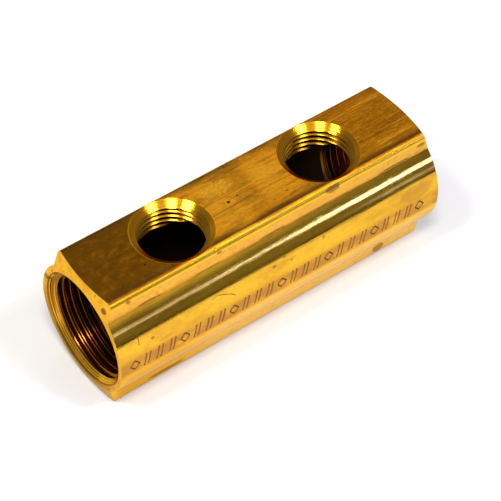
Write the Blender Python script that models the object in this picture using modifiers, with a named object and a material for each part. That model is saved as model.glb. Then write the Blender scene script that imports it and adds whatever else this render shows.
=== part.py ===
"""Brass distribution manifold: one bar of extruded profile with a threaded bore along it.

The profile is an upright slab with a rounded lobe on each side.  The bore is tapped at
both ends, and two countersunk branch ports are tapped into the top flat.
The bar lies along X, the branch ports look up (+Z), and the origin is in the middle
of the bottom flat.
"""
import math

import bmesh
import bpy
from mathutils import Matrix

# ---- driving dimensions, metres ----
BAR_LENGTH = 0.110
BAR_HEIGHT = 0.0414          # flat to flat
BAR_WIDTH = 0.0377           # lobe to lobe
SLAB_WIDTH = 0.0252          # across a flat, with its two rounded edges
SLAB_EDGE_RADIUS = 0.0020
LOBE_RADIUS = 0.0206         # curvature of a side lobe

MAIN_MAJOR = 0.03325         # pipe thread, one inch parallel
MAIN_PITCH = 0.002309
MAIN_THREAD_LENGTH = 0.0165
MAIN_MOUTH_MARGIN = 0.00145  # how much wider than the thread the mouth opens
MAIN_MOUTH_ANGLE = math.radians(90)      # included

BRANCH_SPACING = 0.050
BRANCH_MAJOR = 0.020955      # pipe thread, half inch parallel
BRANCH_PITCH = 0.001814
BRANCH_MOUTH_MARGIN = 0.002445           # how much wider than the thread the countersink opens
BRANCH_MOUTH_ANGLE = math.radians(116)   # included

END_RING = 0.00135           # flat ring left around a mouth, inside the turned end chamfer
END_CHAMFER_ANGLE = math.radians(19.5)   # slope of the chamfer away from the end face

# ---- thread form and mesh fineness ----
FLANK_HALF_ANGLE = math.radians(27.5)
THREAD_DEPTH = 0.6403        # of a parallel pipe thread, in pitches
ROOT_FLAT = 1 / 6            # flat at the bottom of a groove, in pitches
LEAD_TURNS = 1.5             # turns of groove that start outside an end face
GROOVE_OVERLAP = 0.0001      # how far a groove's flanks reach inside the bore's wall
GROOVE_BACK = 0.0004         # thickness of the groove cutter inside its flanks
MAIN_STEPS = 40              # facets around the main bore
BRANCH_STEPS = 28            # facets around a branch port
CHAMFER_STEPS = 96
LOBE_STEPS = 18
EDGE_STEPS = 4
CLEAR = 0.002                # how far a cutter stands past the surface that it cuts
FACET_SHIFT = 1 / 6          # turns a bore's facets off those of its thread, in facets

# ---- sizes that follow ----
MAIN_MINOR = MAIN_MAJOR - 2 * THREAD_DEPTH * MAIN_PITCH
MAIN_MOUTH = MAIN_MAJOR + MAIN_MOUTH_MARGIN
BRANCH_MINOR = BRANCH_MAJOR - 2 * THREAD_DEPTH * BRANCH_PITCH
BRANCH_MOUTH = BRANCH_MAJOR + BRANCH_MOUTH_MARGIN
END_CHAMFER_START = MAIN_MOUTH + 2 * END_RING
AXIS_HEIGHT = BAR_HEIGHT / 2
ALONG_X = Matrix.Rotation(math.radians(90), 4, "Y")      # turns +Z to +X

for old in list(bpy.data.objects):
    bpy.data.objects.remove(old)


def collection(name):
    made = bpy.data.collections.new(name)
    bpy.context.scene.collection.children.link(made)
    return made


PARTS = collection("brass_manifold")
CUTTERS = collection("cutters")


def as_cutter(piece):
    piece.hide_render = True
    piece.display_type = "WIRE"
    return piece


def arc(centre_y, centre_z, radius, start, end, steps):
    """Points on an arc in the Y-Z plane, ends included."""
    turn = (end - start) / steps
    return [(centre_y + radius * math.cos(start + turn * i),
             centre_z + radius * math.sin(start + turn * i)) for i in range(steps + 1)]


def right_side():
    """Outline of the bar's +Y side from the top flat to the bottom flat."""
    half_slab = SLAB_WIDTH / 2
    edge_y = half_slab - SLAB_EDGE_RADIUS
    edge_z = BAR_HEIGHT / 2 - SLAB_EDGE_RADIUS
    lobe_centre = BAR_WIDTH / 2 - LOBE_RADIUS
    meet = math.acos((half_slab - lobe_centre) / LOBE_RADIUS)
    quarter = math.pi / 2
    points = arc(edge_y, edge_z, SLAB_EDGE_RADIUS, quarter, 0, EDGE_STEPS)
    points += arc(lobe_centre, 0, LOBE_RADIUS, meet, -meet, LOBE_STEPS)
    points += arc(edge_y, -edge_z, SLAB_EDGE_RADIUS, 0, -quarter, EDGE_STEPS)
    return points


def extruded_bar():
    """The plain bar, before any machining: its outline drawn flat, then stood along X."""
    side = right_side()
    outline = side + [(-y, -z) for y, z in side]
    drawing = bpy.data.curves.new("profile", "CURVE")
    drawing.dimensions = "2D"
    drawing.fill_mode = "BOTH"
    drawing.extrude = BAR_LENGTH / 2
    line = drawing.splines.new("POLY")
    line.points.add(len(outline) - 1)
    for point, (y, z) in zip(line.points, outline):
        point.co = (y, z, 0, 1)
    line.use_cyclic_u = True
    sketch = bpy.data.objects.new("profile", drawing)
    PARTS.objects.link(sketch)
    # the drawing's x is the bar's Y, its y is the bar's Z
    sketch.matrix_world = Matrix(((0, 0, 1, 0), (1, 0, 0, 0), (0, 1, 0, AXIS_HEIGHT), (0, 0, 0, 1)))
    bpy.context.view_layer.update()
    evaluated = sketch.evaluated_get(bpy.context.evaluated_depsgraph_get())
    mesh = bpy.data.meshes.new_from_object(evaluated)
    bm = bmesh.new()
    bm.from_mesh(mesh)
    bmesh.ops.remove_doubles(bm, verts=bm.verts, dist=1e-6)
    bm.to_mesh(mesh)
    bm.free()
    bar = bpy.data.objects.new("manifold_body", mesh)
    PARTS.objects.link(bar)
    bar.matrix_world = sketch.matrix_world
    bpy.data.objects.remove(sketch)
    return bar


def turned(name, profile, steps, place):
    """A solid of revolution about Z from (radius, height) points listed top to bottom."""
    bm = bmesh.new()
    corners = [bm.verts.new((radius, 0, height)) for radius, height in profile]
    for first, second in zip(corners, corners[1:]):
        bm.edges.new((first, second))
    mesh = bpy.data.meshes.new(name)
    bm.to_mesh(mesh)
    bm.free()
    piece = bpy.data.objects.new(name, mesh)
    CUTTERS.objects.link(piece)
    piece.matrix_world = place
    screw = piece.modifiers.new("turn", "SCREW")
    screw.axis = "Z"
    screw.angle = math.tau
    screw.steps = steps
    screw.render_steps = steps
    screw.use_merge_vertices = True
    screw.merge_threshold = 1e-6
    return as_cutter(piece)


def thread_groove(name, major, minor, pitch, low, high, steps, place):
    """The helical groove that a tap cuts about Z, from height low up to height high."""
    root = major / 2
    crest = minor / 2 - GROOVE_OVERLAP
    inside = crest - GROOVE_BACK
    root_half = ROOT_FLAT * pitch / 2
    crest_half = root_half + (root - crest) * math.tan(FLANK_HALF_ANGLE)
    section = [(inside, -crest_half), (crest, -crest_half), (root, -root_half),
               (root, root_half), (crest, crest_half), (inside, crest_half)]
    bm = bmesh.new()
    ring = [bm.verts.new((radius, 0, low + height)) for radius, height in section]
    edges = [bm.edges.new((ring[i - 1], ring[i])) for i in range(len(ring))]
    count = round((high - low) / pitch * steps)
    bmesh.ops.spin(bm, geom=ring + edges, cent=(0, 0, 0), axis=(0, 0, 1),
                   dvec=(0, 0, pitch / steps), angle=math.tau / steps * count,
                   steps=count, use_merge=False, use_duplicate=False)
    bmesh.ops.holes_fill(bm, edges=[e for e in bm.edges if e.is_boundary], sides=0)
    bmesh.ops.recalc_face_normals(bm, faces=bm.faces)
    mesh = bpy.data.meshes.new(name)
    bm.to_mesh(mesh)
    bm.free()
    piece = bpy.data.objects.new(name, mesh)
    CUTTERS.objects.link(piece)
    piece.matrix_world = place
    return as_cutter(piece)


def apply_boolean(body, tool, operation="DIFFERENCE"):
    cut = body.modifiers.new(tool.name, "BOOLEAN")
    cut.operation = operation
    cut.object = tool


def on_axis(angle=0):
    """Placement of a tool whose Z runs along the bar's bore, turned about it by an angle."""
    return Matrix.Translation((0, 0, AXIS_HEIGHT)) @ ALONG_X @ Matrix.Rotation(angle, 4, "Z")


def end_chamfers():
    """The turned envelope of the bar: what is outside it is chamfered off."""
    start = END_CHAMFER_START / 2
    outer = BAR_HEIGHT / 2 + SLAB_WIDTH / 2
    drop = (outer - start) * math.tan(END_CHAMFER_ANGLE)
    half = BAR_LENGTH / 2
    profile = [(0, half), (start, half), (outer, half - drop),
               (outer, drop - half), (start, -half), (0, -half)]
    return turned("chamfer_envelope", profile, CHAMFER_STEPS, on_axis())


def main_bore():
    bore = MAIN_MINOR / 2
    mouth = MAIN_MOUTH / 2
    slope = math.tan(MAIN_MOUTH_ANGLE / 2)
    depth = (mouth - bore) / slope
    half = BAR_LENGTH / 2
    wide = mouth + CLEAR * slope
    profile = [(0, half + CLEAR), (wide, half + CLEAR), (bore, half - depth),
               (bore, depth - half), (wide, -half - CLEAR), (0, -half - CLEAR)]
    return turned("main_bore", profile, MAIN_STEPS, on_axis(FACET_SHIFT * math.tau / MAIN_STEPS))


def branch_bore(name, x):
    bore = BRANCH_MINOR / 2
    mouth = BRANCH_MOUTH / 2
    slope = math.tan(BRANCH_MOUTH_ANGLE / 2)
    depth = (mouth - bore) / slope
    wide = mouth + CLEAR * slope
    low = AXIS_HEIGHT - CLEAR
    profile = [(0, BAR_HEIGHT + CLEAR), (wide, BAR_HEIGHT + CLEAR),
               (bore, BAR_HEIGHT - depth), (bore, low), (0, low)]
    shift = Matrix.Rotation(FACET_SHIFT * math.tau / BRANCH_STEPS, 4, "Z")
    return turned(name, profile, BRANCH_STEPS, Matrix.Translation((x, 0, 0)) @ shift)


def brass():
    material = bpy.data.materials.new("brass")
    material.use_nodes = True
    shader = material.node_tree.nodes["Principled BSDF"]
    shader.inputs["Base Color"].default_value = (0.62, 0.36, 0.09, 1)
    shader.inputs["Metallic"].default_value = 1.0
    shader.inputs["Roughness"].default_value = 0.3
    return material


body = extruded_bar()
body.data.materials.append(brass())
apply_boolean(body, end_chamfers(), "INTERSECT")
apply_boolean(body, main_bore())
for side, x in (("left", -BRANCH_SPACING / 2), ("right", BRANCH_SPACING / 2)):
    apply_boolean(body, branch_bore(f"branch_bore_{side}", x))

half_length = BAR_LENGTH / 2
start_outside = -half_length - LEAD_TURNS * MAIN_PITCH
for side, turn in (("left", 0), ("right", math.pi)):
    place = Matrix.Translation((0, 0, AXIS_HEIGHT)) @ Matrix.Rotation(turn, 4, "Z") @ ALONG_X
    groove = thread_groove(f"main_thread_{side}", MAIN_MAJOR, MAIN_MINOR, MAIN_PITCH,
                           start_outside, MAIN_THREAD_LENGTH - half_length, MAIN_STEPS, place)
    apply_boolean(body, groove)

branch_low = AXIS_HEIGHT + BRANCH_PITCH
for side, x in (("left", -BRANCH_SPACING / 2), ("right", BRANCH_SPACING / 2)):
    groove = thread_groove(f"branch_thread_{side}", BRANCH_MAJOR, BRANCH_MINOR, BRANCH_PITCH,
                           branch_low, BAR_HEIGHT + BRANCH_PITCH, BRANCH_STEPS,
                           Matrix.Translation((x, 0, 0)))
    apply_boolean(body, groove)

body.data.shade_smooth()
body.data.set_sharp_from_angle(angle=math.radians(30))
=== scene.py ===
"""The looks of a brass manifold bar: extruded, faced, drilled and tapped, on a pale floor."""
import math

import bmesh
import bpy
from mathutils import Matrix, Vector


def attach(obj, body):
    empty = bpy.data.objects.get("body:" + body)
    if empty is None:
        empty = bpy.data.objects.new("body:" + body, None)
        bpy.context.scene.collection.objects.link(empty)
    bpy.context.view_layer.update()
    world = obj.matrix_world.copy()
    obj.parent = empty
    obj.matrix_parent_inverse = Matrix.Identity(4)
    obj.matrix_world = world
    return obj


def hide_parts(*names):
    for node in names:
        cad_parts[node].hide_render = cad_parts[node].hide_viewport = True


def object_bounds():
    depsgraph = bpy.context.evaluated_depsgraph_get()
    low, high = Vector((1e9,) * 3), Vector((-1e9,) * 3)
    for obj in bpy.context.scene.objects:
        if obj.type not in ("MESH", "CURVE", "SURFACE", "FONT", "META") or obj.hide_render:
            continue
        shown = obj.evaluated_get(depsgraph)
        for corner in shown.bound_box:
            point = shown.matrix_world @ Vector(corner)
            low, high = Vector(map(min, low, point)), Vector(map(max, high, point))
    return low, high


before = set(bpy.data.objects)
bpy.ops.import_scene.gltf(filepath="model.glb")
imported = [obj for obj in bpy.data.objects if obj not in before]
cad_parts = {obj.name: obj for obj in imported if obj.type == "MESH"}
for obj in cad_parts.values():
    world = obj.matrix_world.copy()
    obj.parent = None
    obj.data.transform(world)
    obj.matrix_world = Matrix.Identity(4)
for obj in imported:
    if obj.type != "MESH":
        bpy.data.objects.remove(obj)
cad_low, cad_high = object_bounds()
scene = bpy.context.scene

# ---- the extruded bar ----
# A length of drawn brass profile: an upright slab with a rounded lobe on each side.
# The die leaves the lobes bright and smooth, and rounds the slab's long edges.
length, width, height = cad_high - cad_low
axis_height = height / 2
slab_width = 0.0252
slab_edge_radius = 0.0020
lobe_radius = 0.0206
lobe_steps, edge_steps = 40, 10   # facets in a quarter of the outline
weld = 1e-6                       # vertices closer than this are one
past = 0.002                      # how far a cutter, or metal to be cut off, stands past a cut
DRAWN, TURNED, TAPPED, STAMPED = range(4)        # the finishes, in slot order


def made_object(bm, name, finish=DRAWN):
    """The finished bmesh as an object: every face in one finish, and a slot for every finish."""
    bmesh.ops.recalc_face_normals(bm, faces=bm.faces)
    for face in bm.faces:
        face.material_index = finish
    mesh = bpy.data.meshes.new(name)
    for slot in (DRAWN, TURNED, TAPPED, STAMPED):
        mesh.materials.append(None)
    bm.to_mesh(mesh)
    bm.free()
    made = bpy.data.objects.new(name, mesh)
    scene.collection.objects.link(made)
    return made


def polyline(bm, points):
    """New vertices at the points, joined one to the next, as geometry to sweep."""
    corners = [bm.verts.new(point) for point in points]
    return corners + [bm.edges.new(pair) for pair in zip(corners, corners[1:])]


def verts_of(geom):
    """The vertices among what an operator gives back."""
    return [item for item in geom if isinstance(item, bmesh.types.BMVert)]


def extruded_bar():
    """A quarter of the outline, mirrored twice, filled and pulled out along X."""
    bm = bmesh.new()
    start = -length / 2 - past
    half_slab = slab_width / 2
    edge_y, edge_z = half_slab - slab_edge_radius, axis_height - slab_edge_radius
    lobe_centre = width / 2 - lobe_radius
    meet = math.acos((half_slab - lobe_centre) / lobe_radius)
    wall = [(start, half_slab, lobe_radius * math.sin(meet)), (start, half_slab, edge_z)]
    waist, shoulder = polyline(bm, wall)[:2]
    bmesh.ops.spin(bm, geom=[waist], cent=(start, lobe_centre, 0), axis=(1, 0, 0),
                   angle=-meet, steps=lobe_steps)
    top = bmesh.ops.spin(bm, geom=[shoulder], cent=(start, edge_y, edge_z), axis=(1, 0, 0),
                         angle=math.pi / 2, steps=edge_steps)["geom_last"]
    bmesh.ops.extrude_vert_indiv(bm, verts=verts_of(top))
    bm.verts.ensure_lookup_table()
    bm.verts[-1].co.y = 0
    for axis in "YZ":
        bmesh.ops.mirror(bm, geom=bm.verts[:] + bm.edges[:], axis=axis, merge_dist=weld)
    bmesh.ops.remove_doubles(bm, verts=bm.verts, dist=weld)
    bmesh.ops.contextual_create(bm, geom=bm.edges[:])
    pulled = bmesh.ops.extrude_face_region(bm, geom=bm.faces[:])["geom"]
    bmesh.ops.translate(bm, verts=verts_of(pulled), vec=(length + 2 * past, 0, 0))
    bmesh.ops.translate(bm, verts=bm.verts, vec=(0, 0, axis_height))
    return made_object(bm, "brass_bar")


def turned(name, profile, steps, finish):
    """A solid of revolution about Z from (radius, height) points."""
    bm = bmesh.new()
    outline = polyline(bm, [(radius, 0, z) for radius, z in profile])
    bmesh.ops.spin(bm, geom=outline, axis=(0, 0, 1), angle=math.tau, steps=steps, use_merge=True)
    bmesh.ops.remove_doubles(bm, verts=bm.verts, dist=weld)
    return made_object(bm, name, finish)


def laid_along(cutter, turn=0.0):
    """Lay a cutter made about Z along the bore, turned about the upright."""
    lay = Matrix.Rotation(math.pi / 2, 4, "Y")
    upright = Matrix.Rotation(turn, 4, "Z")
    cutter.data.transform(Matrix.Translation((0, 0, axis_height)) @ upright @ lay)
    return cutter


def cut(body, cutter, operation="DIFFERENCE"):
    """Cut the body, then put the cutter away; the faces it leaves keep the cutter's finish."""
    boolean = body.modifiers.new(cutter.name, "BOOLEAN")
    boolean.solver = "MANIFOLD"
    boolean.operation = operation
    boolean.object = cutter
    apply_modifiers(body)
    bpy.data.objects.remove(cutter)


def apply_modifiers(body):
    """Make what the modifiers do the body's own mesh."""
    evaluated = body.evaluated_get(bpy.context.evaluated_depsgraph_get())
    mesh = bpy.data.meshes.new_from_object(evaluated)
    body.modifiers.clear()
    body.data = mesh


bar = extruded_bar()

# ---- the turned ends ----
# Both ends are faced in a lathe and chamfered, so the chamfer is round where the bar isn't.
# It leaves a narrow flat ring around each mouth.
main_major = 0.03325
main_pitch = 0.002309
thread_depth = 0.6403             # of a parallel pipe thread, in pitches
main_minor = main_major - 2 * thread_depth * main_pitch
main_mouth = 0.0347
end_ring = 0.00135
end_chamfer_angle = math.radians(19.5)
end_steps = 192
broken_edge = 0.00012


def end_chamfers():
    """What the lathe leaves: a barrel with a coned rim at both ends."""
    start = main_mouth / 2 + end_ring
    outer = axis_height + slab_width / 2
    drop = (outer - start) * math.tan(end_chamfer_angle)
    half = length / 2
    profile = [(0, half), (start, half), (outer, half - drop)]
    profile += [(radius, -z) for radius, z in reversed(profile)]
    return laid_along(turned("end_chamfers", profile, end_steps, TURNED))


cut(bar, end_chamfers(), "INTERSECT")
edges = bar.modifiers.new("broken_edges", "BEVEL")
edges.width = broken_edge
edges.segments = 2
edges.limit_method = "ANGLE"
edges.angle_limit = math.radians(40)
apply_modifiers(bar)

# ---- the marks on the near lobe ----
# A row of plain strokes and diamonds, rolled into the lobe along its widest line, and a few
# scratches and dents from handling.
stamp_count = 25
stamp_start = -0.0505
stamp_pitch = 0.0041
stamp_height = 0.0046
stamp_middle = 0.0007             # above the widest line
stamp_groove = 0.00050
stamps_to_diamond = 4             # every fourth mark is a diamond
diamond_width = 0.0030
diamond_margin = 0.0006           # a diamond stops this much short of a stroke's ends
pair_gap = 0.0013
stroke_lean = diamond_width / 6   # from a stroke's middle to its ends, along the bar
stroke_bends = 5                  # inner sections, which let a groove follow the lobe
scratch_groove = 0.00022
scratches = (((-0.0485, 0.0100), (-0.0482, 0.0085), (-0.0484, 0.0066)),      # along the bar, up the lobe
             ((-0.0245, 0.0079), (-0.0225, 0.0084), (-0.0205, 0.0078), (-0.0180, 0.0066),
              (-0.0168, 0.0055)))
lobe_dents = ((-0.0268, 38.5, 0.0006), (-0.0212, 43, 0.0005),      # along the bar, degrees, radius
              (0.0025, 34.7, 0.0007), (-0.0085, 34, 0.0005), (0.0005, 25, 0.0004),
              (0.0142, 24, 0.0004), (0.0378, 43, 0.0005))
lobe_dent_rise = 0.85             # how far a dent's ball stands out of the lobe, in radii
edge_dents = ((-0.0269, 0.0409, 0.0004), (-0.0192, 0.0410, 0.0005),      # along, height, radius
              (-0.0480, 0.0406, 0.0004), (0.0300, 0.0409, 0.0004), (0.0420, 0.0410, 0.0004))
edge_dent_y = -slab_width / 2 + slab_edge_radius * 0.3


def lobe_point(angle, out):
    """Y and Z of a point this far out of the -Y lobe, at an angle above its widest line."""
    radius = lobe_radius + out
    return lobe_radius - width / 2 - radius * math.cos(angle), axis_height + radius * math.sin(angle)


def stroke(start, end, wide):
    """A V-shaped groove in the -Y lobe, from start to end, each (along the bar, up the lobe)."""
    bm = bmesh.new()
    run = Vector(end) - Vector(start)
    side = wide / math.sqrt(2)
    bmesh.ops.create_cube(bm, size=1)
    lengthwise = [e for e in bm.edges if abs(e.verts[0].co.x - e.verts[1].co.x) > 0.5]
    bmesh.ops.subdivide_edges(bm, edges=lengthwise, cuts=stroke_bends)
    place = Matrix.Translation(((start[0] + end[0]) / 2, (start[1] + end[1]) / 2, 0))
    place = place @ Matrix.Rotation(math.atan2(run.y, run.x), 4, "Z") @ Matrix.Rotation(math.pi / 4, 4, "X")
    bmesh.ops.transform(bm, verts=bm.verts, matrix=place @ Matrix.Diagonal((run.length, side, side, 1)))
    for v in bm.verts:
        v.co.yz = lobe_point(v.co.y / lobe_radius, v.co.z)
    return made_object(bm, "stroke", STAMPED)


def stamp(x, number):
    """One mark of the row as strokes: a diamond, or a pair of slanted strokes."""
    low, high = stamp_middle - stamp_height / 2, stamp_middle + stamp_height / 2
    if number % stamps_to_diamond:
        middles = (x - pair_gap / 2, x + pair_gap / 2)
        return [((middle - stroke_lean, low), (middle + stroke_lean, high)) for middle in middles]
    half = diamond_width / 2
    low, high = low + diamond_margin, high - diamond_margin
    corners = [(x, low), (x + half, stamp_middle), (x, high), (x - half, stamp_middle)]
    return list(zip(corners, corners[1:] + corners[:1]))


def dent(x, y, z, radius):
    """A ball to press into the surface."""
    bm = bmesh.new()
    bmesh.ops.create_icosphere(bm, subdivisions=2, radius=radius, matrix=Matrix.Translation((x, y, z)))
    return made_object(bm, "dent")


for number in range(stamp_count):
    for start, end in stamp(stamp_start + stamp_pitch * number, number):
        cut(bar, stroke(start, end, stamp_groove))
for line in scratches:
    for start, end in zip(line, line[1:]):
        cut(bar, stroke(start, end, scratch_groove))
for x, angle, radius in lobe_dents:
    cut(bar, dent(x, *lobe_point(math.radians(angle), radius * lobe_dent_rise), radius))
for x, z, radius in edge_dents:
    cut(bar, dent(x, edge_dent_y, z, radius))

# ---- the main bore ----
# Drilled right through at the thread's minor diameter, with a short cone at each mouth, and
# tapped from both ends.  The tap's lead leaves the last turns shallow.
main_lip = 0.0002                 # width of the eased edge round the mouth
main_bore_steps = 160
main_thread_length = 0.0165
main_thread_steps = 128           # facets in a turn
tap_lead = 2.5                    # turns over which a thread fades out
crest_radius = 0.1373             # rounding of crests and roots, in pitches
flank_angle = math.radians(27.5)
drill_clear = 0.00002             # the drill's radius is this much under the tap's core
faded_clear = 0.0001              # a faded thread ends this much under the tap's core


def main_bore():
    """The drill, with a cone and an eased edge at each mouth."""
    bore, mouth, half = main_minor / 2 - drill_clear, main_mouth / 2, length / 2
    profile = [(0, half + past), (mouth + main_lip + past, half + past)]
    profile += [(mouth + main_lip, half + main_lip / 8), (mouth, half - main_lip / 3)]
    profile += [(bore, half - (mouth - bore))]
    profile += [(radius, -z) for radius, z in reversed(profile)]
    return laid_along(turned("main_bore", profile, main_bore_steps, TURNED))


def tap(name, major, pitch, low, high, steps, fade_low):
    """A tap about Z: a thread form swept up a helix, sawn off flat at both ends."""
    root, crest = major / 2, major / 2 - thread_depth * pitch
    rounding = crest_radius * pitch
    bends = [(math.pi / 2 - flank_angle) * (i / 2 - 1) for i in range(5)]
    form = [(root - rounding + rounding * math.cos(a), rounding * math.sin(a)) for a in bends]
    form += [(crest + rounding - rounding * math.cos(a), pitch / 2 + rounding * math.sin(a)) for a in bends]
    form.append((form[0][0], form[0][1] + pitch))
    bm = bmesh.new()
    outline = polyline(bm, [(r, 0, low - 2 * pitch + z) for r, z in form])
    bmesh.ops.spin(bm, geom=outline, axis=(0, 0, 1), dvec=(0, 0, pitch / steps), angle=math.tau, steps=steps)
    one_turn = bm.verts[:] + bm.edges[:] + bm.faces[:]
    for turn in range(1, math.ceil((high - low) / pitch) + 3):
        copied = bmesh.ops.duplicate(bm, geom=one_turn)["geom"]
        bmesh.ops.translate(bm, verts=verts_of(copied), vec=(0, 0, pitch * turn))
    bmesh.ops.remove_doubles(bm, verts=bm.verts, dist=weld)
    if fade_low:
        least = crest - faded_clear
        for v in bm.verts:
            grown = min(1, max(0, v.co.z - low) / (tap_lead * pitch))
            faded = least + (root - least) * grown
            radius = math.hypot(v.co.x, v.co.y)
            if radius > faded:
                v.co.x *= faded / radius
                v.co.y *= faded / radius
    for z, side in ((low, -1), (high, 1)):
        bmesh.ops.bisect_plane(bm, geom=bm.verts[:] + bm.edges[:] + bm.faces[:], plane_co=(0, 0, z),
                               plane_no=(0, 0, side), clear_outer=True)
    bmesh.ops.holes_fill(bm, edges=[e for e in bm.edges if e.is_boundary])
    return made_object(bm, name, TAPPED)


cut(bar, main_bore())
for side, turn in (("left", math.pi), ("right", 0)):
    worm = tap(f"main_tap_{side}", main_major, main_pitch, length / 2 - main_thread_length,
               length / 2 + past, main_thread_steps, True)
    cut(bar, laid_along(worm, turn))

# ---- the branch ports ----
# Two smaller ports drilled down from the top flat into the bore, and tapped all the way.
# A wide countersink takes away the first turns.
branch_spacing = 0.050
branch_major = 0.020955
branch_pitch = 0.001814
branch_minor = branch_major - 2 * thread_depth * branch_pitch
branch_mouth = 0.0234
branch_mouth_angle = math.radians(116)
branch_lip = 0.0001               # width of the eased edge round a mouth
branch_bore_steps = 128
branch_thread_steps = 96


def branch_countersink(name, x):
    """The drill and countersink of a branch port at x, with an eased edge at the mouth."""
    mouth = branch_mouth / 2
    slope = math.tan(branch_mouth_angle / 2)
    core = branch_minor / 2 - drill_clear
    depth = (mouth - core) / slope
    profile = [(0, past), (mouth + branch_lip + past, past), (mouth + branch_lip, branch_lip / 10)]
    profile += [(mouth - branch_lip / 2, -branch_lip / 2 / slope)]
    profile += [(core, -depth), (core, -axis_height), (0, -axis_height)]
    cutter = turned(name, profile, branch_bore_steps, TURNED)
    cutter.data.transform(Matrix.Translation((x, 0, height)))
    return cutter


for side, x in (("left", -branch_spacing / 2), ("right", branch_spacing / 2)):
    cut(bar, branch_countersink(f"countersink_{side}", x))
    worm = tap(f"branch_tap_{side}", branch_major, branch_pitch, axis_height, height + past,
               branch_thread_steps, False)
    worm.data.transform(Matrix.Translation((x, 0, 0)))
    cut(bar, worm)


# ---- the brass ----
# Free-cutting brass, left as machined: satin and tarnished on the flats, polished on the lobes.
# Each finish has its own shader, made of patterns in the bar's own coordinates.
class Signal:
    """A socket in a finish's node tree, so that masks and patterns are written as arithmetic."""

    def __init__(self, tree, socket):
        self.tree, self.socket = tree, socket

    def node(self, kind, settings=None, inputs=None, output=0):
        made = self.tree.nodes.new("ShaderNode" + kind)
        for name, value in (settings or {}).items():
            setattr(made, name, value)
        for key, value in (inputs or {}).items():
            if isinstance(value, Signal):
                self.tree.links.new(value.socket, made.inputs[key])
            else:
                made.inputs[key].default_value = value
        return Signal(self.tree, made.outputs[output])

    def math(self, operation, *others):
        return self.node("Math", {"operation": operation}, dict(enumerate((self, *others))))

    def __add__(self, other):
        return self.math("ADD", other)

    def __sub__(self, other):
        return self.math("SUBTRACT", other)

    def __rsub__(self, other):
        return (self * -1).math("ADD", other)

    def __mul__(self, other):
        return self.math("MULTIPLY", other)

    def __truediv__(self, other):
        return self.math("DIVIDE", other)

    def __pow__(self, other):
        return self.math("POWER", other)

    __radd__, __rmul__ = __add__, __mul__

    def rise(self, low, high):
        """0 below low, 1 above high, smooth between; low may be the larger."""
        return self.node("MapRange", {"interpolation_type": "SMOOTHSTEP"},
                         {"Value": self, "From Min": low, "From Max": high})

    def stretched(self, x, y, z):
        return self.node("Mapping", None, {"Vector": self, "Scale": (x, y, z)})

    def noise(self, scale, detail=2.0, roughness=0.5):
        return self.node("TexNoise", None, {"Vector": self, "Scale": scale, "Detail": detail,
                                            "Roughness": roughness})

    def streaks(self, scale, detail=2.0):
        """Noise along one value alone: rings when the value is a radius."""
        settings = {"noise_dimensions": "1D"}
        return self.node("TexNoise", settings, {"W": self, "Scale": scale, "Detail": detail})

    def xyz(self):
        split = self.node("SeparateXYZ", None, {0: self})
        return [Signal(self.tree, out) for out in split.socket.node.outputs]

    def tint(self, plain, coloured):
        """A colour that goes from plain to coloured with this mask."""
        pair = {6: plain, 7: coloured}
        pair = {key: value if isinstance(value, Signal) else (*value, 1) for key, value in pair.items()}
        return self.node("Mix", {"data_type": "RGBA"}, {0: self, **pair}, 2)


def brass(name, roughness=0.25):
    """A new brass: its material, its shader and its object coordinates."""
    material = bpy.data.materials.new(name)
    material.use_nodes = True
    tree = material.node_tree
    shader = tree.nodes["Principled BSDF"]
    shader.inputs["Metallic"].default_value = 1.0
    shader.inputs["Specular Tint"].default_value = (1, 0.85, 0.55, 1)
    shader.inputs["Roughness"].default_value = roughness
    place = tree.nodes.new("ShaderNodeTexCoord").outputs["Object"]
    return material, shader, Signal(tree, place)


def feed(shader, name, signal):
    signal.tree.links.new(signal.socket, shader.inputs[name])


def relief(shader, signal, depth):
    """Bump of the given depth in metres."""
    bump = signal.node("Bump", None, {"Height": signal, "Distance": depth})
    feed(shader, "Normal", bump)


def any_of(masks):
    """The largest of the masks."""
    highest = masks[0]
    for mask in masks[1:]:
        highest = highest.math("MAXIMUM", mask)
    return highest


def patches(across, up, ragged, ellipses):
    """1 inside ragged ellipses, each a middle and its half sizes, in mm across and in up's own unit."""
    masks = []
    for middle, up_middle, half, up_half in ellipses:
        distance = ((across * 1000 - middle) / half) ** 2 + ((up - up_middle) / up_half) ** 2
        masks.append((distance + ragged * 2).rise(2.3, 1.6))
    return any_of(masks)


class DrawnPatterns:
    """Where a point of a drawn face is, and the lines, tarnish and grain that its colours share."""

    def __init__(self, place):
        self.place = place
        self.x, self.y, self.z = place.xyz()
        self.near = self.y.rise(0.001, -0.001)
        out = self.y.math("ABSOLUTE") + (lobe_radius - width / 2)
        self.degrees = (self.z - axis_height).math("ARCTAN2", out) * (180 / math.pi)
        self.lines = place.stretched(0.02, 1, 1).noise(4000, 3, 0.6)
        self.broad = place.stretched(0.06, 1, 1).noise(1100, 3, 0.6)
        self.cloud = place.stretched(0.4, 1, 1).noise(170, 4, 0.6)
        self.blotches = place.stretched(0.7, 1, 1).noise(480, 4, 0.65)
        self.grain = place.stretched(0.35, 1, 1).noise(2300, 2, 0.6)
        self.fine = place.noise(900, 3, 0.6)
        self.ragged = place.noise(700, 3, 0.6)


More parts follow.
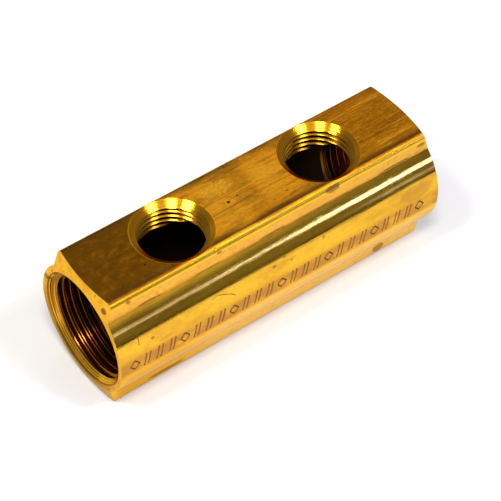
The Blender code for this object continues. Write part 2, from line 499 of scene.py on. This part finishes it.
def flat_ground(drawn):
    """The top flat: dull at the near end, gold between the ports, amber beyond them."""
    x, y, blotches = drawn.x, drawn.y, drawn.blotches
    flat = x.rise(-0.036, -0.014).tint((0.23, 0.090, 0.003), (0.98, 0.39, 0.013))
    flat = x.rise(0.016, 0.034).tint(flat, (0.56, 0.20, 0.004))
    smears = drawn.place.stretched(1, 0.12, 1).noise(260, 3, 0.6).rise(0.40, 0.62)      # across the bar
    flat = (smears * x.rise(-0.016, -0.011) * x.rise(0.002, -0.004) * 0.55).tint(flat, (0.98, 0.46, 0.03))
    flat = (smears * x.rise(-0.004, 0.003) * 0.25).tint(flat, (0.40, 0.15, 0.006))
    flat = (drawn.cloud.rise(0.45, 0.72) * 0.5).tint(flat, (0.16, 0.060, 0.005))
    flat = (blotches.rise(0.50, 0.66) * x.rise(-0.015, -0.03) * 0.5).tint(flat, (0.42, 0.18, 0.010))
    flat = (blotches.rise(0.48, 0.34) * x.rise(-0.015, -0.03) * 0.5).tint(flat, (0.13, 0.060, 0.006))
    flat = (blotches.rise(0.50, 0.66) * x.rise(-0.02, -0.01) * 0.3).tint(flat, (0.50, 0.20, 0.010))
    # A brighter stretch across the flat just past the middle, streaked by the smears.
    brighter_stretch = x.rise(0.0015, 0.0060) * x.rise(0.0150, 0.0080)
    brighter_stretch = brighter_stretch * y.rise(-0.0085, -0.0035) * y.rise(0.0105, 0.0040)
    flat = (brighter_stretch * (0.35 + smears * 0.3)).tint(flat, (1.0, 0.50, 0.028))
    dull = x.rise(-0.0055, -0.0015) * x.rise(0.0035, 0.0005)
    return (dull * (0.3 + blotches * 0.4)).tint(flat, (0.45, 0.19, 0.010))


def flat_grain(drawn, flat):
    """Dark and bright lines along the bar, broad and fine, and the grain of the metal."""
    x, broad, grain = drawn.x, drawn.broad, drawn.grain
    flat = (broad.rise(0.50, 0.70) * 0.5).tint(flat, (0.13, 0.055, 0.006))
    flat = (broad.rise(0.46, 0.30) * x.rise(-0.025, -0.01) * 0.6).tint(flat, (1.0, 0.50, 0.03))
    flat = (drawn.lines.rise(0.55, 0.8) * x.rise(-0.02, 0) * 0.5).tint(flat, (0.95, 0.50, 0.04))
    flat = (grain.rise(0.52, 0.72) * 0.28).tint(flat, (0.13, 0.055, 0.008))
    return (grain.rise(0.48, 0.30) * x.rise(-0.03, -0.01) * 0.25).tint(flat, (1.0, 0.55, 0.05))


def flat_marks_and_edge_reflection(drawn, flat):
    """Painted dark reflection on the near rounded edge, a dark band along the near edge, a dark far edge, a
    bright patch and specks.
    """
    x, y, cloud = drawn.x, drawn.y, drawn.cloud
    # Painted reflection: a dark line along the near rounded edge, from the near port to the far end.
    groove = y.rise(-0.0100, -0.0104) * y.rise(-0.0111, -0.0107) * x.rise(-0.025, -0.020)
    flat = (groove * 0.7).tint(flat, (0.12, 0.05, 0.008))
    far_edge = y.rise(0.0082, 0.0108) * (cloud + drawn.grain * 0.3).rise(0.35, 0.72) * x.rise(0.03, 0.01)
    flat = (far_edge * 0.75).tint(flat, (0.17, 0.075, 0.010))
    near_edge = y.rise(-0.0085, -0.0102) * y.rise(-0.0112, -0.0107) * cloud.rise(0.28, 0.52)
    flat = (near_edge * 0.75).tint(flat, (0.14, 0.06, 0.012))
    mottled = patches(x, y * 1000, drawn.fine, [(-6.5, 5.4, 5.0, 2.6)])
    mottled = mottled * drawn.place.noise(1500, 3, 0.6).rise(0.44, 0.60)
    flat = (mottled * 0.8).tint(flat, (1.0, 0.58, 0.04))
    specks = patches(x, y * 1000, drawn.ragged, [(-6.6, -0.7, 0.55, 0.44), (-3.2, 0.0, 0.35, 0.28),
                                                 (-37.8, -5.7, 0.4, 0.32), (9, -6.5, 0.3, 0.24)])
    return specks.tint(flat, (0.05, 0.02, 0.006))


def lobe_colour(drawn, row_stain):
    """The lobe: bright, with painted reflection that makes it darker low down and paler underneath, stained
    along the row of marks, and spotted.
    """
    x, degrees, near, ragged = drawn.x, drawn.degrees, drawn.near, drawn.ragged
    lobe = drawn.lines.tint((0.76, 0.42, 0.03), (0.87, 0.50, 0.042))
    lobe = (drawn.cloud.rise(0.44, 0.66) * 0.55).tint(lobe, (0.58, 0.27, 0.026))
    lobe = (drawn.grain.rise(0.55, 0.75) * 0.25).tint(lobe, (0.45, 0.20, 0.02))
    # Painted reflection: from a little above the widest line down, the lobe is darker and more orange, and
    # its underside paler towards the middle and far end.
    lobe = (degrees.rise(15, 8) * 0.5).tint(lobe, (0.62, 0.32, 0.03))
    lobe = (degrees.rise(-5, -13) * x.rise(-0.045, -0.01) * 0.45).tint(lobe, (0.97, 0.70, 0.24))
    lobe = row_stain.tint(lobe, (0.42, 0.18, 0.042))
    stains = patches(x, degrees, ragged, [(-50, 3, 4.5, 7), (13, 4, 11, 5),
                                          (47, 17, 6, 7), (-40, 12.8, 2, 1.2)])
    lobe = (stains * near * 0.6).tint(lobe, (0.50, 0.24, 0.035))
    low_stains = patches(x, drawn.z * 1000, ragged, [(39.5, 3.0, 2.0, 1.6), (-36, 2.5, 6, 0.7)])
    lobe = (low_stains * near * 0.75).tint(lobe, (0.22, 0.11, 0.02))
    lobe = (drawn.blotches.rise(0.50, 0.68) * 0.30).tint(lobe, (0.52, 0.27, 0.022))
    spots = patches(x, degrees, ragged, [(-3.2, 21, 0.6, 1.32), (0.5, 24.4, 0.5, 1.1), (14, 22.7, 0.5, 1.1),
                                         (-44, 18.6, 0.5, 1.1), (2.6, 19, 0.4, 0.88)])
    return (spots * near * 0.8).tint(lobe, (0.28, 0.14, 0.02))


def side_colour(drawn, fillet):
    """The slab's side above the lobe: satin, golden at the rounded edge, with dark residue on it."""
    side = drawn.cloud.tint((0.82, 0.46, 0.07), (0.64, 0.33, 0.05))
    side = (drawn.fine.rise(0.5, 0.66) * 0.5).tint(side, (0.50, 0.25, 0.035))
    side = fillet.tint(side, (0.88, 0.48, 0.024))
    foot = [(-41.5, 35.6, 4.2, 0.75), (-22, 35.5, 5, 0.4), (-0.4, 35.6, 4.4, 0.75),
            (18, 35.5, 14, 0.35), (42.5, 35.6, 5.8, 0.8)]
    edge = [(-48, 39.6, 0.8, 0.7), (-18.5, 39.6, 0.9, 0.5), (20.2, 40.2, 2.4, 1.5), (52, 38.4, 1.4, 0.7)]
    residue = patches(drawn.x, drawn.z * 1000, drawn.ragged, foot + edge)
    return (residue * drawn.near * 0.75).tint(side, (0.20, 0.095, 0.022))


def drawn_brass():
    """The faces that the die left: the top flat, the slab's sides and the lobes."""
    material, shader, place = brass("drawn_brass")
    drawn = DrawnPatterns(place)
    z, degrees = drawn.z, drawn.degrees
    top = z.rise(height - 0.0007, height - 0.0002)
    wall = z.rise(axis_height + 0.0147, axis_height + 0.0149)
    fillet = z.rise(height - slab_edge_radius - 0.0002, height - slab_edge_radius + 0.0002)
    row = degrees.rise(-9, -4) * degrees.rise(11, 5) * drawn.near
    row_stain = row * (place.stretched(0.5, 1, 1).noise(220, 4, 0.6).rise(0.30, 0.54) * 0.85)
    flat = flat_marks_and_edge_reflection(drawn, flat_grain(drawn, flat_ground(drawn)))
    colour = top.tint(wall.tint(lobe_colour(drawn, row_stain), side_colour(drawn, fillet)), flat)
    satin = top * 0.22 + wall * 0.06 + fillet * 0.14
    feed(shader, "Base Color", colour)
    feed(shader, "Roughness", satin + 0.05 + drawn.lines * 0.05 + row_stain * 0.12)
    relief(shader, drawn.lines + (drawn.broad + drawn.grain) * top, 0.00001)
    return material


def turned_brass():
    """The end faces, the chamfers, the cones of the mouths and the drilled bores, with painted light on the
    port cones and painted shade low on the ends and deep in the bores.
    """
    material, shader, place = brass("turned_brass")
    x, y, z = place.xyz()
    cloud = place.noise(300, 4, 0.6)
    mouth_radius = main_mouth / 2
    from_end = length / 2 - x.math("ABSOLUTE")
    end = from_end.rise(0.0028, 0.0024)
    from_axis = (y ** 2 + (z - axis_height) ** 2) ** 0.5
    from_port = ((x.math("ABSOLUTE") - branch_spacing / 2) ** 2 + y ** 2) ** 0.5
    face = from_axis.streaks(2500, 3)
    cone = from_port.streaks(3500, 3)
    # Painted shade: deep in the bores the drilled walls are coloured nearly black; they are rougher as well.
    inside = (1.0 - end) * z.rise(height - 0.0040, height - 0.0048)
    # Partly painted light: the port cones get a brighter, redder brass than the ends, lifting their dimly
    # lit sides.
    bright = end.tint(cloud.tint((0.96, 0.38, 0.012), (1.0, 0.47, 0.022)),
                      cloud.rise(0.4, 0.65).tint((0.82, 0.43, 0.030), (0.66, 0.32, 0.022)))
    # Painted shade: the end faces and chamfers darker low down, away from the marked side, in blotches.
    low = end * z.rise(0.026, 0.012) * y.rise(-0.016, -0.008) * (cloud * 0.5 + 0.5)
    low = low * from_axis.rise(mouth_radius - 0.0004, mouth_radius + 0.0001)
    bright = low.tint(bright, (0.24, 0.125, 0.02))
    rings = end.tint(cone, face).rise(0.45, 0.7) * (0.55 - end * 0.30)
    bright = rings.tint(bright, (0.40, 0.15, 0.010))
    mouth = end * from_axis.rise(mouth_radius + 0.0002, mouth_radius)
    bright = (mouth * face.rise(0.4, 0.6) * 0.8).tint(bright, (0.16, 0.06, 0.006))
    stains = patches(y, z * 1000, place.noise(700, 3, 0.6),
                     [(16.3, 27.3, 1.2, 1.2), (-10.4, 38.3, 1.0, 1.0), (-12.2, 7.2, 0.4, 0.4)])
    specks = any_of([place.noise(420, 2, 0.5).rise(0.66, 0.72), stains * x.rise(0, -0.001)])
    bright = (specks * end * 0.8).tint(bright, (0.10, 0.045, 0.015))
    feed(shader, "Base Color", inside.tint(bright, (0.03, 0.014, 0.004)))
    feed(shader, "Roughness", inside * 0.45 + end * 0.08 + 0.13)
    relief(shader, end * face + (1.0 - end) * cone, 0.00002)
    return material


def tapped_brass():
    """The threads, with painted shade: darker in the main bore, and darker with depth in the ports and
    towards the middle of the bore.
    """
    material, shader, place = brass("tapped_brass")
    x, y, z = place.xyz()
    from_middle = x.math("ABSOLUTE")
    main = from_middle.rise(0.037, 0.0375)
    port_threads = place.noise(400, 3).tint((0.48, 0.22, 0.014), (0.66, 0.33, 0.025))
    # Painted shade: the main bore's threads darker than the ports'.
    bright = main.tint(port_threads, (0.32, 0.11, 0.006))
    # Painted shade: darker with depth in the ports and towards the middle of the main bore.
    painted_depth_shade = any_of([z.rise(height - 0.004, height - 0.009) * from_middle.rise(0.040, 0.037),
                   from_middle.rise(0.052, 0.044) * main])
    feed(shader, "Roughness", main * 0.09 + 0.15)
    feed(shader, "Base Color", (painted_depth_shade * 0.8).tint(bright, (0.11, 0.034, 0.004)))
    return material


def stamped_brass():
    """The grooves of the marks, with dirt in them."""
    material, shader, place = brass("stamped_brass", 0.5)
    feed(shader, "Base Color", place.noise(500, 2).tint((0.24, 0.11, 0.04), (0.38, 0.19, 0.06)))
    return material


finishes = {DRAWN: drawn_brass, TURNED: turned_brass, TAPPED: tapped_brass, STAMPED: stamped_brass}
bar.name = bar.data.name = "manifold_bar"
for slot, finish in finishes.items():
    bar.data.materials[slot] = finish()
bar.data.shade_smooth()
bar.data.set_sharp_from_angle(angle=math.radians(24))
shading = bar.modifiers.new("even_shading", "WEIGHTED_NORMAL")
shading.keep_sharp = True
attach(bar, "root")
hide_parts("manifold_body")

# ---- the floor and the room ----
# A pale sheet, with three soft lamps overhead and a low window to the right, in a dim room.
# The window is a few strips of daylight, which the lobe shows as one long streak.
floor_front, floor_reach = 0.30, 0.60
overhead_size, overhead_glow = 0.2, 29
overhead = {"lamp_right": (0.282, -0.470, 0.836), "lamp_middle": (-0.243, -0.304, 0.921),
            "lamp_left": (-0.486, 0.030, 0.873)}
window_wall = -1.0                # the window strips' y
daylight = (0.28, 0.36, 1.9)
strips = (("window", 0.76, 0.340, 0.48, 0.07, 18),      # name, x, z, width, height, glow
          ("window_edge", 0.47, 0.340, 0.10, 0.030, 10),
          ("window_reveal", 0.335, 0.305, 0.17, 0.06, 3),
          ("window_sill", 0.80, 0.085, 0.50, 0.05, 2.2))

bm = bmesh.new()
bmesh.ops.create_grid(bm, x_segments=1, y_segments=1, size=floor_reach)
for v in bm.verts:
    v.co.y = max(v.co.y, -floor_front)
floor = made_object(bm, "floor")
paper = bpy.data.materials.new("paper")
paper.use_nodes = True
paper_shader = paper.node_tree.nodes["Principled BSDF"]
paper_shader.inputs["Base Color"].default_value = (0.90, 0.90, 0.91, 1)
paper_shader.inputs["Roughness"].default_value = 1.0
floor.data.materials.clear()
floor.data.materials.append(paper)


def lamp(name, place, aim, size, glow, colour=(1, 0.98, 0.94)):
    """A soft rectangular lamp at a place, facing a point, as bright as white paper times glow."""
    light = bpy.data.lights.new(name, "AREA")
    light.shape = "RECTANGLE"
    light.size, light.size_y = size
    light.energy = math.pi * size[0] * size[1] * glow
    light.color = colour
    lamp_object = bpy.data.objects.new(name, light)
    scene.collection.objects.link(lamp_object)
    turn = (Vector(place) - Vector(aim)).to_track_quat("Z", "Y").to_matrix().to_4x4()
    lamp_object.matrix_world = Matrix.Translation(place) @ turn


for name, place in overhead.items():
    lamp(name, place, (0, 0, 0), (overhead_size, overhead_size), overhead_glow)
for name, x, z, wide, tall, glow in strips:
    lamp(name, (x, window_wall, z), (x, 0, z), (wide, tall), glow, daylight)
lamp("rear_softbox", (0.70, 0.72, 0.96), (0, 0, 0), (0.55, 0.55), 1.05)

room = bpy.data.worlds.new("room")
scene.world = room
room.use_nodes = True
tree = room.node_tree
background = tree.nodes["Background"]
sky = Signal(tree, tree.nodes.new("ShaderNodeTexCoord").outputs["Generated"])
east, north, above = sky.xyz()
walls = above.rise(0.36, 0.52) * east.rise(0.50, 0.36) * north.rise(0, -0.4) * 0.45      # front, high up
walls = walls + east.rise(0.1, -0.5) * above.rise(0.6, 0.3) * above.rise(-0.1, 0.1) * 0.33      # left
walls = walls + above.rise(-0.08, 0.04) * 0.14 + 0.08      # all round, brighter above the floor
background.inputs["Color"].default_value = (1, 1, 1, 1)
seen = sky.node("LightPath", output="Is Camera Ray")      # the camera itself sees plain white
tree.links.new((seen * (1.0 - walls) + walls).socket, background.inputs["Strength"])
scene.view_settings.view_transform = "Standard"

# ---- the camera ----
# It looks down on the bar from beyond its near end, on the side of the marked lobe, through a
# long lens, held slightly out of level.
azimuth, elevation, roll = (math.radians(angle) for angle in (38.602, 48.900, 2.123))
distance = 0.59551
aim_right, aim_down = 0.001621, 0.002854      # from the middle of the bar, across the view
lens, sensor = 152.77, 36
back = Vector((-math.sin(azimuth) * math.cos(elevation), -math.cos(azimuth) * math.cos(elevation),
               math.sin(elevation)))
right = Vector((math.cos(azimuth), -math.sin(azimuth), 0))
turn = Matrix.Rotation(roll, 3, back)
right = turn @ right
up = back.cross(right)
target = Vector((0, 0, axis_height)) + right * aim_right - up * aim_down
camera_data = bpy.data.cameras.new("camera")
camera_data.sensor_width = sensor
camera_data.lens = lens
camera = bpy.data.objects.new("camera", camera_data)
scene.collection.objects.link(camera)
facing = Matrix((right, up, back)).transposed().to_4x4()
camera.matrix_world = Matrix.Translation(target + back * distance) @ facing
scene.camera = camera
